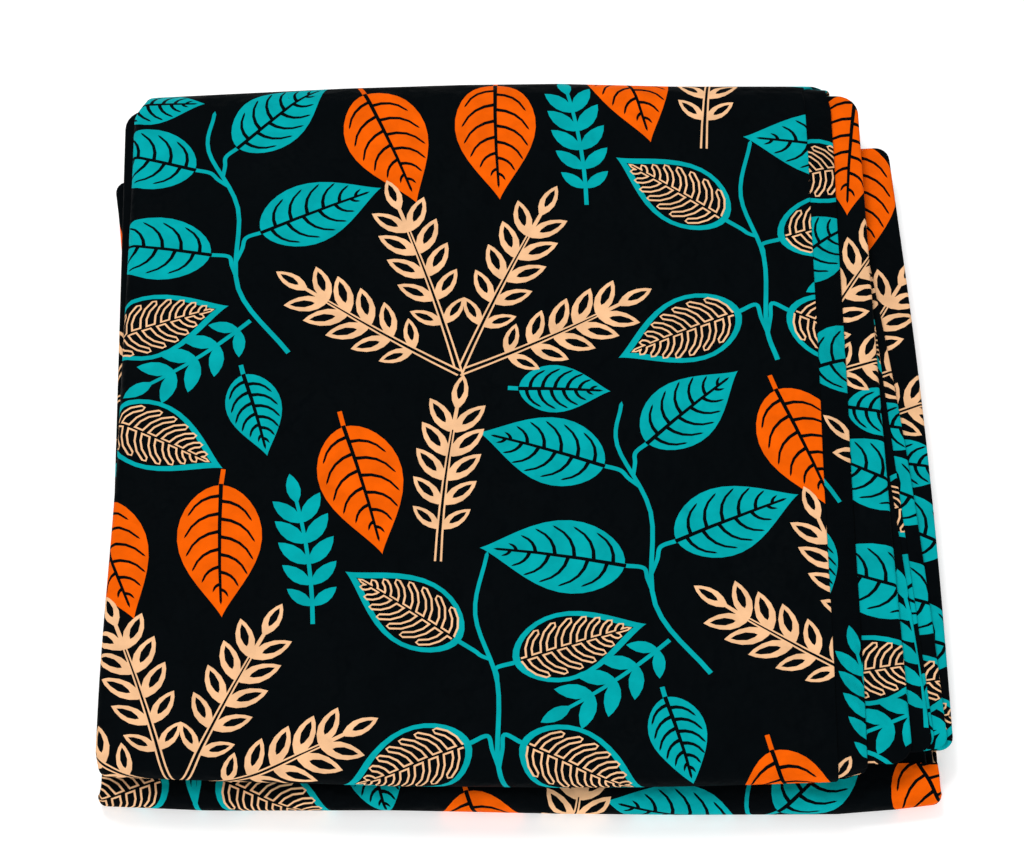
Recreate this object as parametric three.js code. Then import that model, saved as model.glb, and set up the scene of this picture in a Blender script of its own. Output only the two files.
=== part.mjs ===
// A length of wax print cloth, folded flat into a packet that lies on a table.
//
// The cloth is folded in three across its width, folded to and fro into a strip of
// panels, and closed like a book with its spine at the back. The outer wrap starts
// between the two halves, turns round the upper nose, is the top panel, the spine and
// the underside, and turns in again round the lower nose. Inside it lie the hidden
// layers of each half and the panels whose fold edges fan out to the right.
//
// Millimetres. X runs across the packet, +Y to the spine and +Z up from the table.

import * as THREE from "three";

// ---------------------------------------------------------------- driving sizes

const CLOTH = 1.2;           // wall of the wrap
const GAP = 0.3;             // between neighbouring stretches of cloth

const UPPER_NOSE_TIP = -199.7;   // front of the upper half
const LOWER_NOSE_TIP = -202.2;   // front of the lower half
const SPINE_TIP = 202.2;         // back of the spine
const SPINE_DEPTH = 21;          // how far the spine stands out behind the flat panels
const SPINE_SQUARENESS = 2.15;   // 2 is an ellipse, more is squarer
const FLAP_END = -152;           // where the wrap's two ends stop, between the halves

const TOP_SWELL = 0.9;           // how far the top panel swells between its edges

// What lies on what, from the table up. The gap lies between each two.
const STACK = [
  { name: "underside", thickness: CLOTH },
  { name: "lower_layers", thickness: 14.1 },
  { name: "lower_flap", thickness: CLOTH },
  { name: "middle_panel", thickness: 3.4 },
  { name: "upper_flap", thickness: CLOTH },
  { name: "fourth_panel", thickness: 2.1 },
  { name: "third_panel", thickness: 1.7 },
  { name: "second_panel", thickness: 1.8 },
  { name: "first_panel", thickness: 3.3 },
  { name: "upper_layers", thickness: 7.4 },
  { name: "top_panel", thickness: CLOTH },
];

// The panels' edges in plan. Each panel is a little turned against the next, so the
// X of its side edges differs from back to front, and the Y of its ends from left to right.
// "corner" is the radius of its corners, "bow" how far its right edge curves out, and
// "hollow" how far its left edge curves in.
const PANELS = {
  lower_layers: { leftBack: -195.0, leftFront: -202.6, rightBack: 178.0, rightFront: 203.4,
    backLeft: 189.2, backRight: 195.4, frontLeft: -198.0, frontRight: -197.0,
    corner: 13, bow: 0, hollow: 0 },
  middle_panel: { leftBack: -210.9, leftFront: -195.6, rightBack: 193.2, rightFront: 211.6,
    backLeft: 146.4, backRight: 167.8, frontLeft: -187.5, frontRight: -175.4,
    corner: 7, bow: 3.2, hollow: 7.5 },
  fourth_panel: { leftBack: -200.5, leftFront: -200.4, rightBack: 166.0, rightFront: 208.6,
    backLeft: 166.0, backRight: 186.0, frontLeft: -184.0, frontRight: -176.8,
    corner: 7, bow: 5.5, hollow: 0 },
  third_panel: { leftBack: -204.6, leftFront: -198.2, rightBack: 171.0, rightFront: 202.2,
    backLeft: 164.5, backRight: 185.0, frontLeft: -188.0, frontRight: -178.2,
    corner: 8, bow: 0, hollow: 0 },
  second_panel: { leftBack: -203.0, leftFront: -199.8, rightBack: 165.7, rightFront: 201.0,
    backLeft: 166.5, backRight: 186.8, frontLeft: -186.0, frontRight: -180.4,
    corner: 8, bow: -1, hollow: 0 },
  first_panel: { leftBack: -205.0, leftFront: -199.0, rightBack: 177.2, rightFront: 190.6,
    backLeft: 183.0, backRight: 192.4, frontLeft: -189.0, frontRight: -187.8,
    corner: 11, bow: -1.2, hollow: 0 },
  upper_layers: { leftBack: -196.8, leftFront: -200.4, rightBack: 158.4, rightFront: 163.0,
    backLeft: 190.9, backRight: 198.4, frontLeft: -192.2, frontRight: -194.6,
    corner: 13, bow: 0, hollow: 0 },
  spine_layers: { leftBack: -185.0, leftFront: -188.0, rightBack: 174.0, rightFront: 178.0,
    backLeft: 190.2, backRight: 196.6, frontLeft: 151.0, frontRight: 170.6,
    corner: 3.4, bow: 0, hollow: 0 },
};

// How far each fold edge of the hidden layers stands back, from the lowest up.
const LOWER_FOLDS = [
  { left: 2.6, right: 3.4 },
  { left: 3.2, right: 2.9 },
  { left: 0.8, right: 0.0 },
  { left: 2.2, right: 3.4 },
];
const UPPER_FOLDS = [
  { left: 1.6, right: 0.2 },
  { left: 0.2, right: 3.6 },
  { left: 2.6, right: 9.4 },
];
const SPINE_FOLDS = [
  { left: 0, right: 0 },
  { left: 0, right: 1.5 },
  { left: 2, right: 6 },
  { left: 1, right: 19 },
];
const SPINE_STEP = 18.5;     // the spine's upper layers start this far behind the lower ones

// The wrap's edges along its way: "at" counts its seven stretches, which are the upper
// flap, upper nose, top, spine, underside, lower nose and lower flap. "lip" is how far
// the left edge rolls in, and "drop" how far the right one does over the width "strip".
const WRAP_EDGES = [
  { at: 0.0, left: -193.0, right: 158.0, lip: 0.0, strip: 12.0, drop: 0.0 },
  { at: 1.0, left: -198.5, right: 164.0, lip: 0.0, strip: 12.0, drop: 0.0 },
  { at: 1.5, left: -203.0, right: 167.9, lip: 4.6, strip: 14.0, drop: 6.0 },
  { at: 2.05, left: -204.0, right: 167.7, lip: 4.8, strip: 14.4, drop: 7.2 },
  { at: 2.5, left: -200.2, right: 165.4, lip: 5.0, strip: 14.0, drop: 7.3 },
  { at: 2.9, left: -199.4, right: 163.4, lip: 4.8, strip: 13.6, drop: 7.2 },
  { at: 3.0, left: -199.6, right: 162.6, lip: 4.6, strip: 13.5, drop: 6.4 },
  { at: 3.25, left: -195.0, right: 160.0, lip: 4.0, strip: 13.0, drop: 2.2 },
  { at: 3.5, left: -190.0, right: 163.0, lip: 3.0, strip: 13.0, drop: 1.4 },
  { at: 3.75, left: -192.5, right: 170.0, lip: 2.4, strip: 8.0, drop: 1.4 },
  { at: 4.0, left: -198.0, right: 179.5, lip: 2.0, strip: 2.0, drop: 1.8 },
  { at: 5.0, left: -204.0, right: 205.2, lip: 2.0, strip: 2.0, drop: 1.8 },
  { at: 5.5, left: -204.7, right: 205.8, lip: 4.4, strip: 5.0, drop: 4.4 },
  { at: 6.0, left: -202.5, right: 204.4, lip: 0.0, strip: 5.0, drop: 0.0 },
  { at: 7.0, left: -197.0, right: 201.0, lip: 0.0, strip: 5.0, drop: 0.0 },
];

// How far the wrap's turns lie from straight lines: the Y by which each is moved at an X.
const WRAP_TURNS = [
  { x: -205, upperNose: 5.8, lowerNose: 2.5, spine: -9.6 },
  { x: -150, upperNose: 3.6, lowerNose: 0.0, spine: -6.3 },
  { x: -60, upperNose: 0.8, lowerNose: 0.2, spine: -1.2 },
  { x: 20, upperNose: 0.0, lowerNose: -1.6, spine: 0.0 },
  { x: 80, upperNose: 0.4, lowerNose: -2.2, spine: -1.7 },
  { x: 165, upperNose: 3.4, lowerNose: -1.8, spine: -1.7 },
  { x: 206, upperNose: 3.6, lowerNose: 3.6, spine: -1.7 },
];
const TURN_FADE = 0.35;      // the share of a flat stretch over which a turn's move fades out

// Steps along each of the wrap's seven stretches, and across it.
const WRAP_STEPS = [2, 9, 12, 12, 8, 9, 2];
const LIP_STEPS = 4;
const FLAT_STEPS = 9;
const STRIP_STEPS = 6;

const CORNER_STEPS = 5;      // round each corner of a panel
const SIDE_STEPS = 6;        // along each side of a panel
const FOLD_STEPS = 4;        // round each fold edge

const BLACK = 0x06090c;
const TEAL = 0x00a4aa;
const ORANGE = 0xe86005;

// ---------------------------------------------------------------- levels

const levels = {};
let top = -GAP;
for (const { name, thickness } of STACK) {
  const low = top + GAP;
  top = low + thickness;
  levels[name] = { low, high: top };
}
const HEIGHT = top;

const upperNose = noseCircle(levels.upper_flap.low, HEIGHT, UPPER_NOSE_TIP);
const lowerNose = noseCircle(0, levels.lower_flap.high, LOWER_NOSE_TIP);
const spineStart = SPINE_TIP - SPINE_DEPTH;

function noseCircle(low, high, tip) {
  const radius = (high - low) / 2;
  return { radius, z: (low + high) / 2, y: tip + radius };
}

// ---------------------------------------------------------------- small helpers

const lerp = THREE.MathUtils.lerp;
const clamp = THREE.MathUtils.clamp;
const smooth = (t) => t * t * (3 - 2 * t);
const steps = (count) => Array.from({ length: count + 1 }, (_, i) => i / count);

// Reads the columns of a table at a place between its rows, which its first column gives.
function readTable(table, place, blend = (t) => t) {
  const [key] = Object.keys(table[0]);
  let row = table.findIndex((entry) => entry[key] >= place);
  row = row < 0 ? table.length - 1 : Math.max(row, 1);
  const [before, after] = [table[row - 1], table[row]];
  const t = blend(clamp((place - before[key]) / (after[key] - before[key]), 0, 1));
  const result = {};
  for (const column of Object.keys(before)) {
    result[column] = lerp(before[column], after[column], t);
  }
  return result;
}

// A closed body through rings of equally many points, with a flat cap at each end.
function loft(rings, cells) {
  const size = rings[0].length;
  const positions = rings.flat().flatMap((point) => point);
  const index = [];
  for (let k = 0; k + 1 < rings.length; k++) {
    for (let i = 0; i < size; i++) {
      const next = (i + 1) % size;
      const [a, b] = [k * size + i, k * size + next];
      index.push(a, b, b + size, a, b + size, a + size);
    }
  }
  const last = (rings.length - 1) * size;
  for (const [a, b, c] of cells) {
    index.push(c, b, a);
    index.push(last + a, last + b, last + c);
  }
  const geometry = new THREE.BufferGeometry();
  geometry.setAttribute("position", new THREE.Float32BufferAttribute(positions, 3));
  geometry.setIndex(index);
  geometry.computeVertexNormals();
  return geometry;
}

// ---------------------------------------------------------------- panels in plan

const [RIGHT_SIDE, LEFT_SIDE] = [1, 3];   // counted from the front, as panelRing goes round
const HOLLOW_POWER = 0.6;    // a hollow edge turns in soon after its corner

// Where two side lines meet, each given by a point and a direction.
function meet(p, d, q, e) {
  const cross = d[0] * e[1] - d[1] * e[0];
  const t = ((q[0] - p[0]) * e[1] - (q[1] - p[1]) * e[0]) / cross;
  return [p[0] + d[0] * t, p[1] + d[1] * t];
}

// A panel's outline at one level, each side moved in by its own inset, with round corners.
function panelRing(panel, inset, z) {
  const corners = [
    [panel.leftFront, panel.frontLeft], [panel.rightFront, panel.frontRight],
    [panel.rightBack, panel.backRight], [panel.leftBack, panel.backLeft],
  ];
  const insets = [inset.front, inset.right, inset.back, inset.left];
  const sides = corners.map((from, i) => {
    const to = corners[(i + 1) % 4];
    const length = Math.hypot(to[0] - from[0], to[1] - from[1]);
    const along = [(to[0] - from[0]) / length, (to[1] - from[1]) / length];
    const point = [from[0] - along[1] * insets[i], from[1] + along[0] * insets[i]];
    return { point, along };
  });
  const inner = sides.map((side, i) => {
    const before = sides[(i + 3) % 4];
    return meet(before.point, before.along, side.point, side.along);
  });
  const radius = Math.max(panel.corner - Math.min(...insets), 1);
  const ring = [];
  inner.forEach((corner, i) => {
    const into = sides[(i + 3) % 4].along;
    const away = sides[i].along;
    for (const t of steps(CORNER_STEPS)) {
      const angle = t * Math.PI / 2;
      const [a, b] = [radius * (1 - Math.sin(angle)), radius * (1 - Math.cos(angle))];
      ring.push([corner[0] - into[0] * a + away[0] * b, corner[1] - into[1] * a + away[1] * b, z]);
    }
    const next = inner[(i + 1) % 4];
    const from = [corner[0] + away[0] * radius, corner[1] + away[1] * radius];
    const to = [next[0] - away[0] * radius, next[1] - away[1] * radius];
    for (const t of steps(SIDE_STEPS).slice(1, -1)) {
      const curve = Math.sin(t * Math.PI);
      let shift = 0;
      if (i === RIGHT_SIDE) shift = panel.bow * curve;
      if (i === LEFT_SIDE) shift = panel.hollow * curve ** HOLLOW_POWER;
      ring.push([lerp(from[0], to[0], t) + shift, lerp(from[1], to[1], t), z]);
    }
  });
  return ring;
}

// The cap of a panel is cut by Earcut, because a hollow edge leaves it not convex.
function capCells(ring) {
  return THREE.ShapeUtils.triangulateShape(ring.map(([x, y]) => new THREE.Vector2(x, y)), []);
}

// Rings up a body of fold edges. "edge" gives each side's inset at a height, and a fold's.
function foldedBody(panel, { low, high }, folds, edge) {
  const height = (high - low) / folds.length;
  const rings = [];
  folds.forEach((fold, f) => {
    for (const t of steps(FOLD_STEPS)) {
      if (f > 0 && t === 0) continue;
      const angle = (t - 0.5) * Math.PI;
      const z = low + height * (f + 0.5 + Math.sin(angle) / 2);
      const round = (height / 2) * (1 - Math.cos(angle));
      const next = folds[Math.min(f + 1, folds.length - 1)];
      const deeper = t === 1 ? next : fold;
      const back = {
        left: Math.max(fold.left, deeper.left) + round,
        right: Math.max(fold.right, deeper.right) + round,
      };
      rings.push(panelRing(panel, edge(z, back, round), z));
    }
  });
  return loft(rings, capCells(rings[0]));
}

// ---------------------------------------------------------------- the spine and noses

// How far a nose or the spine has curved away from its tip at a height.
function noseInset(nose, z) {
  const radius = nose.radius - CLOTH - GAP;
  const rise = clamp((z - nose.z) / radius, -1, 1);
  return radius * (1 - Math.sqrt(1 - rise * rise));
}

function spineInset(z) {
  const half = HEIGHT / 2 - CLOTH - GAP;
  const depth = SPINE_DEPTH - CLOTH - GAP;
  const rise = Math.abs(clamp((z - HEIGHT / 2) / half, -1, 1));
  return depth * (1 - (1 - rise ** SPINE_SQUARENESS) ** (1 / SPINE_SQUARENESS));
}

// ---------------------------------------------------------------- the wrap

// The wrap's outer line in the plane across X, at a place counted as in WRAP_EDGES.
function wrapLine(at) {
  const stretch = Math.min(Math.floor(at), WRAP_STEPS.length - 1);
  const t = at - stretch;
  const turn = (t - 0.5) * Math.PI;
  switch (stretch) {
    case 0:
      return { y: lerp(FLAP_END, upperNose.y, t), z: levels.upper_flap.low, ny: 0, nz: -1 };
    case 1:
      return noseLine(upperNose, turn);
    case 2:
      return { y: lerp(upperNose.y, spineStart, t), z: HEIGHT, ny: 0, nz: 1 };
    case 3:
      return spineLine(t * Math.PI);
    case 4:
      return { y: lerp(spineStart, lowerNose.y, t), z: 0, ny: 0, nz: -1 };
    case 5:
      return noseLine(lowerNose, turn);
    default:
      return { y: lerp(lowerNose.y, FLAP_END, t), z: levels.lower_flap.high, ny: 0, nz: 1 };
  }
}

function noseLine(nose, turn) {
  const [ny, nz] = [-Math.cos(turn), Math.sin(turn)];
  return { y: nose.y + nose.radius * ny, z: nose.z + nose.radius * nz, ny, nz };
}

function spineLine(turn) {
  const power = 2 / SPINE_SQUARENESS;
  const [out, up] = [Math.sin(turn), Math.cos(turn)];
  return {
    y: spineStart + SPINE_DEPTH * Math.abs(out) ** power,
    z: HEIGHT / 2 + (HEIGHT / 2) * Math.sign(up) * Math.abs(up) ** power,
    ny: out, nz: up,
  };
}

// The top panel swells a little where the layers under it are thickest.
function swell(x, y) {
  const across = Math.cos(clamp(x / 200, -1, 1) * Math.PI / 2);
  const along = Math.cos(clamp(y / 195, -1, 1) * Math.PI / 2);
  return TOP_SWELL * across * along;
}

// How far a place on the wrap is moved in Y, because its turns aren't straight.
function turnShift(x, at) {
  const turn = readTable(WRAP_TURNS, x);
  const near = (start, end, reach) => 1 - smooth(clamp(Math.max(start - at, at - end) / reach, 0, 1));
  return turn.upperNose * near(1, 2, TURN_FADE) + turn.spine * near(3, 4, TURN_FADE)
    + turn.lowerNose * near(5, 6, TURN_FADE);
}

// The points across the wrap at one place: the left lip, the flat, and the right strip.
function wrapAcross(at) {
  const edge = readTable(WRAP_EDGES, at, smooth);
  const line = wrapLine(at);
  const lipWidth = Math.max(edge.lip, 1);
  const points = [];
  const add = (x, drop) => {
    const lift = at > 2 && at < 3 ? swell(x, line.y) : 0;
    const y = line.y - line.ny * drop + turnShift(x, at);
    points.push(new THREE.Vector3(x, y, line.z - line.nz * drop + lift));
  };
  for (const t of steps(LIP_STEPS)) {
    const angle = t * Math.PI / 2;
    add(edge.left + lipWidth * (1 - Math.cos(angle)), edge.lip * (1 - Math.sin(angle)));
  }
  const crease = edge.right - edge.strip;
  const flatStart = edge.left + lipWidth;
  for (const t of steps(FLAT_STEPS).slice(1, -1)) add(lerp(flatStart, crease - 3, t), 0);
  for (const t of steps(STRIP_STEPS)) {
    add(lerp(crease - 3, edge.right, t), edge.drop * t ** 1.6);
  }
  return points;
}

// The wrap as a wall: its outer points, and those set in along the surface's normal.
function wrapGeometry() {
  const places = [0];
  WRAP_STEPS.forEach((count, stretch) => {
    for (const t of steps(count).slice(1)) places.push(stretch + t);
  });
  const outer = places.map(wrapAcross);
  const width = outer[0].length;
  const rings = outer.map((points, i) => {
    const before = outer[Math.max(i - 1, 0)];
    const after = outer[Math.min(i + 1, outer.length - 1)];
    const inner = points.map((point, j) => {
      const across = points[Math.min(j + 1, width - 1)].clone().sub(points[Math.max(j - 1, 0)]);
      const along = after[j].clone().sub(before[j]);
      return point.clone().addScaledVector(across.cross(along).normalize(), -CLOTH);
    });
    return [...points, ...inner.reverse()].map((point) => point.toArray());
  });
  const cells = [];
  for (let j = 0; j + 1 < width; j++) {
    const [a, b] = [j, j + 1];
    const [c, d] = [2 * width - 2 - j, 2 * width - 1 - j];
    cells.push([a, b, c], [a, c, d]);
  }
  return loft(rings, cells);
}

// ---------------------------------------------------------------- the pieces

function cloth(name, geometry, color) {
  const material = new THREE.MeshStandardMaterial({ color, roughness: 0.75, metalness: 0 });
  const mesh = new THREE.Mesh(geometry, material);
  mesh.name = name;
  return mesh;
}

function lowerLayers() {
  const panel = PANELS.lower_layers;
  return foldedBody(panel, levels.lower_layers, LOWER_FOLDS, (z, fold) => ({
    left: fold.left, right: fold.right,
    front: noseInset(lowerNose, z), back: spineInset(z),
  }));
}

function upperLayers() {
  const panel = PANELS.upper_layers;
  return foldedBody(panel, levels.upper_layers, UPPER_FOLDS, (z, fold) => ({
    left: fold.left, right: fold.right,
    front: noseInset(upperNose, z), back: spineInset(z),
  }));
}

// The inner layers of the spine fill it behind the panels, from the lower half to the first.
function spineLayers() {
  const level = { low: levels.lower_layers.high + GAP, high: levels.first_panel.low - GAP };
  return foldedBody(PANELS.spine_layers, level, SPINE_FOLDS, (z, fold, round) => ({
    left: fold.left, right: fold.right,
    front: round + (z > levels.upper_flap.high ? SPINE_STEP : 0), back: spineInset(z),
  }));
}

function singlePanel(name) {
  const flush = [{ left: 0, right: 0 }];
  return foldedBody(PANELS[name], levels[name], flush, (z, fold, round) => ({
    left: fold.left, right: fold.right, front: round, back: round,
  }));
}

const packet = new THREE.Group();
packet.add(cloth("outer_wrap", wrapGeometry(), BLACK));
packet.add(cloth("upper_layers", upperLayers(), TEAL));
packet.add(cloth("first_panel", singlePanel("first_panel"), ORANGE));
packet.add(cloth("second_panel", singlePanel("second_panel"), TEAL));
packet.add(cloth("third_panel", singlePanel("third_panel"), ORANGE));
packet.add(cloth("fourth_panel", singlePanel("fourth_panel"), TEAL));
packet.add(cloth("middle_panel", singlePanel("middle_panel"), BLACK));
packet.add(cloth("spine_layers", spineLayers(), ORANGE));
packet.add(cloth("lower_layers", lowerLayers(), TEAL));

export default packet;
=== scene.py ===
"""A length of wax print cloth, folded flat into a packet with its spine at the back.

The outer wrap, the panels that fan out at the right and the layers that show at the
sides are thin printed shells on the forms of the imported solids. Their print is cut into
the shells' faces, so that it runs round each fold. Working sizes are in millimetres and
meshes are made in metres.
"""

import cmath
import math

import bpy
import numpy as np
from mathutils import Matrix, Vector
from mathutils.geometry import delaunay_2d_cdt


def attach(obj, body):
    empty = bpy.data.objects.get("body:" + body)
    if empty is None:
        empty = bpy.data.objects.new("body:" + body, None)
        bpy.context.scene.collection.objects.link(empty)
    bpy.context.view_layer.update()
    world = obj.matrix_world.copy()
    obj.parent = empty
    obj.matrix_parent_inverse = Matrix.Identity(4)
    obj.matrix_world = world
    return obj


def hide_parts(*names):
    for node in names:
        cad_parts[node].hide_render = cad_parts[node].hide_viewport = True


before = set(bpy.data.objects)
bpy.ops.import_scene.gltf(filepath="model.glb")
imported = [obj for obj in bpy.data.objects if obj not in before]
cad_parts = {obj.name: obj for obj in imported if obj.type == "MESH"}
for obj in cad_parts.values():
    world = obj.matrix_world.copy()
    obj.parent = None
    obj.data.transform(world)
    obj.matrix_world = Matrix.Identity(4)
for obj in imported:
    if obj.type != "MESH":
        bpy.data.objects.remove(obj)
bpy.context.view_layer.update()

MM = 0.001


def ease(t):
    """From 0 to 1, slow at both ends."""
    t = np.clip(t, 0, 1)
    return t * t * (3 - 2 * t)


def mix(a, b, t):
    return a + (b - a) * t


def chain(points, closed=False):
    """The edges of a line through points."""
    pairs = list(zip(points, points[1:]))
    if closed:
        pairs.append((points[-1], points[0]))
    return pairs


def set_inputs(node, values):
    """Sets a node's inputs to constant values, and gives the node back."""
    for name, value in values.items():
        node.inputs[name].default_value = value
    return node


# -------------------- camera

PHOTO_WIDTH = 1024           # the picture's width in pixels
FOCAL = 4400                 # the lens, in those pixels
SENSOR = 36.0                # the camera's own sensor, in millimetres
CLIP_START = 0.05
ELEVATION = math.radians(62)
DISTANCE = 2197 * MM
AIM = Vector((-3.3, -11.5, 41.8)) * MM


def make_camera():
    data = bpy.data.cameras.new("camera")
    data.sensor_width = SENSOR
    data.lens = FOCAL / PHOTO_WIDTH * SENSOR
    data.clip_start = CLIP_START
    camera = bpy.data.objects.new("camera", data)
    bpy.context.scene.collection.objects.link(camera)
    back = Vector((0, -math.cos(ELEVATION), math.sin(ELEVATION)))
    camera.location = AIM + back * DISTANCE
    camera.rotation_euler = (math.pi / 2 - ELEVATION, 0, 0)
    bpy.context.scene.camera = camera


make_camera()


# -------------------- the print's motifs

# Points of the print are complex numbers, in millimetres on the flat cloth: the real
# part runs across it. A motif is a list of (ink, outline) pairs, painted in that order,
# and it starts at 0 and grows along the real axis.

GROUND, TEAL, ORANGE, CREAM = range(4)

# Half widths of the print's lines, each at its start and at its end.
LINE = 0.92                  # what a solid leaf's black lines are worked out from
RIB = (LINE * 1.15, LINE * 0.7)
VEIN = (LINE * 1.1, LINE * 0.55)
STUB = (1.15, 1.15)
COMB_RIB, COMB_RIB_SLIT = (1.5, 1.1), (0.55, 0.35)
LOOP, LOOP_SLIT = (2.1, 1.8), (1.1, 0.8)
SPRIG_TIP = 0.9
HOLLOW_STEM, FILLED_STEM = (2.0, SPRIG_TIP), (1.1, SPRIG_TIP)
STEM_SLIT = (0.95, 0.35)

COMB_EDGE = 2.3              # width of the teal line that a comb leaf is drawn with
OUTLINE_STEPS = 18           # points along each side of a leaf
SMOOTH_STEPS = 6             # points of a smooth path from one given point to the next
SOLID_PAIRS, COMB_PAIRS = 6, 7         # of a solid leaf's veins, and of a comb leaf's loops
FIRST_VEIN, VEIN_SPAN = 0.10, 0.67     # where the pairs of veins start, and how far they spread
STUB_LENGTH = 0.12           # as a share of the leaf's length
LEAFLET_PLACES = (0.06, 0.22, 0.42, 0.65, 0.86)
CORE_PLACES = (0.12, 0.42, 0.78)
LEAFLET_WIDTH = 0.42         # as a share of a leaflet's length, as are its core's sizes
CORE_START, CORE_LENGTH, CORE_WIDTH = 0.28, 0.58, 0.19


def bent(point, length, bend):
    """Bends a motif that grows along the real axis, by so much of its length sideways."""
    along = point.real / length
    slope = bend * (1 - 2 * along)
    return complex(point.real, bend * length * along * (1 - along)) + point.imag * complex(-slope, 1)


def bent_motif(shapes, length, bend):
    return [(ink, [bent(p, length, bend) for p in outline]) for ink, outline in shapes]


def turned(shapes, place, degrees):
    """Sets a motif down at a place, turned."""
    turn = cmath.rect(1, math.radians(degrees))
    return [(ink, [place + turn * p for p in outline]) for ink, outline in shapes]


def stroke(path, start, end, cap=1):
    """A line along a path, from one half width to another. Its tip reaches so many of the end's
    half widths past the path."""
    left, right = [], []
    for i, point in enumerate(path):
        ahead = path[min(i + 1, len(path) - 1)] - path[max(i - 1, 0)]
        normal = 1j * ahead / abs(ahead)
        half = start + (end - start) * i / (len(path) - 1)
        left.append(point + normal * half)
        right.append(point - normal * half)
    ahead = path[-1] - path[-2]
    tip = path[-1] + ahead / abs(ahead) * end * cap
    return left + [tip] + right[::-1]


def arc(start, end, bow, count):
    """Points from start to end, bowed to the left by so much of the distance."""
    way = end - start
    return [start + way * t + 4 * bow * t * (1 - t) * way * 1j
            for t in (i / count for i in range(count + 1))]


def leaf_half(t, width):
    """Half a leaf's width at a place t along it: widest near its stem, pointed at its tip."""
    return 0.5 * width * math.sin(math.pi * t ** 0.72) ** (0.74 + 0.42 * t)


def leaf_outline(length, width):
    places = [(1 - math.cos(math.pi * i / OUTLINE_STEPS)) / 2 for i in range(OUTLINE_STEPS + 1)]
    upper = [complex(length * t, leaf_half(t, width)) for t in places]
    lower = [p.conjugate() for p in upper[1:-1]]
    return upper + lower[::-1]


def veins(length, width, pairs, reach):
    """Start, end and side of each vein of a leaf, a pair at a time. They end at so much of its width."""
    for k in range(pairs):
        t = FIRST_VEIN + VEIN_SPAN * k / (pairs - 1)
        run = reach * leaf_half(min(t + 0.13, 0.95), width)
        for side in (1, -1):
            start = complex(length * (t + 0.02 * side), 0)
            yield start, start + complex(run * (0.62 + 0.4 * t), run * side), side


def solid_leaf(ink, length, width, bend, stub=STUB_LENGTH):
    """A filled leaf with a black midrib and curved black veins, and a stub of its stem."""
    shapes = []
    if stub:
        shapes.append((ink, stroke([complex(-stub * length, 0.01 * length), 0, 3], *STUB, 0)))
    shapes.append((ink, leaf_outline(length, width)))
    rib = [complex(length * t, 0) for t in (-0.01, 0.3, 0.6, 0.88)]
    shapes.append((GROUND, stroke(rib, *RIB, 3)))
    for start, end, side in veins(length, width, SOLID_PAIRS, 0.80):
        shapes.append((GROUND, stroke(arc(start, end, 0.15 * side, 4), *VEIN, 3)))
    return bent_motif(shapes, length, bend)


def comb_leaf(length, width, bend):
    """A leaf drawn as a teal line, filled with a comb of narrow cream loops."""
    outline = leaf_outline(length, width)
    inner = [complex(COMB_EDGE * 1.5 + p.real * (1 - 4.2 * COMB_EDGE / length),
                     p.imag * (1 - 2 * COMB_EDGE / width)) for p in outline]
    shapes = [(TEAL, outline), (GROUND, inner)]
    rib = [complex(length * t, 0) for t in (0.06, 0.3, 0.6, 0.86)]
    loops = [arc(start, end, 0.13 * side, 3)
             for start, end, side in veins(length, width, COMB_PAIRS, 0.70)]
    shapes.append((CREAM, stroke(rib, *COMB_RIB, 2)))
    shapes += [(CREAM, stroke(path, *LOOP)) for path in loops]
    shapes += [(GROUND, stroke(path, *LOOP_SLIT)) for path in loops]
    shapes.append((GROUND, stroke(rib, *COMB_RIB_SLIT)))
    return bent_motif(shapes, length, bend)


def leaflet(length, width, places):
    """A small pointed leaf, with a point on each side at each of the places along it."""
    upper = [complex(length * t, 0.5 * width * math.sin(math.pi * t ** 0.9) ** 0.8) for t in places]
    return [0j] + upper + [complex(length, 0)] + [p.conjugate() for p in upper[::-1]]


def sprig(ink, length, bend, leaf, pairs, hollow, bare):
    """A stem with pairs of leaflets and one at its end. Hollow ones have a black core."""
    spine = [bent(complex(length * t / 6, 0), length, bend) for t in range(7)]
    shapes = [(ink, stroke(spine, *(HOLLOW_STEM if hollow else FILLED_STEM)))]
    holes = []
    for k in range(pairs + 1):
        t = bare + (0.97 - bare) * k / pairs
        place = bent(complex(length * t, 0), length, bend)
        slope = math.degrees(math.atan(bend * (1 - 2 * t)))
        size = leaf * (0.72 + 0.5 * math.sin(math.pi * (0.16 + 0.62 * k / pairs)))
        for side in ((0,) if k == pairs else (1, -1)):
            angle = slope + side * (50 - 14 * k / pairs)
            foot = place + cmath.rect(0.5 * abs(side), math.radians(angle))
            shapes += turned([(ink, leaflet(size, LEAFLET_WIDTH * size, LEAFLET_PLACES))], foot, angle)
            if hollow:
                core = leaflet(CORE_LENGTH * size, CORE_WIDTH * size, CORE_PLACES)
                holes += turned([(GROUND, [CORE_START * size + p for p in core])], foot, angle)
    if hollow:
        holes.append((GROUND, stroke(spine[:-1], *STEM_SLIT)))
    return shapes + holes


def smooth(points):
    """A smooth path through a few points."""
    path = []
    extended = [2 * points[0] - points[1], *points, 2 * points[-1] - points[-2]]
    for a, b, c, d in zip(extended, extended[1:], extended[2:], extended[3:]):
        for i in range(SMOOTH_STEPS):
            t = i / SMOOTH_STEPS
            path.append(0.5 * (2 * b + (c - a) * t + (2 * a - 5 * b + 4 * c - d) * t ** 2
                               + (3 * b - a - 3 * c + d) * t ** 3))
    path.append(points[-1])
    return path


# -------------------- the print's layout

REPEAT_X, REPEAT_Y = 350, 424    # a half drop: the repeat's middle holds everything again

STEM = (1.25, 0.95)          # half widths of a branch's stem at its foot and tip
STALK = (0.95, 1.15)         # and of a leaf's stalk where it leaves the stem and at the leaf
STALK_DROP = 13              # a stalk leaves the stem this far below its leaf
STALK_END = 0.13             # and runs straight over this share of the leaf's length

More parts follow.
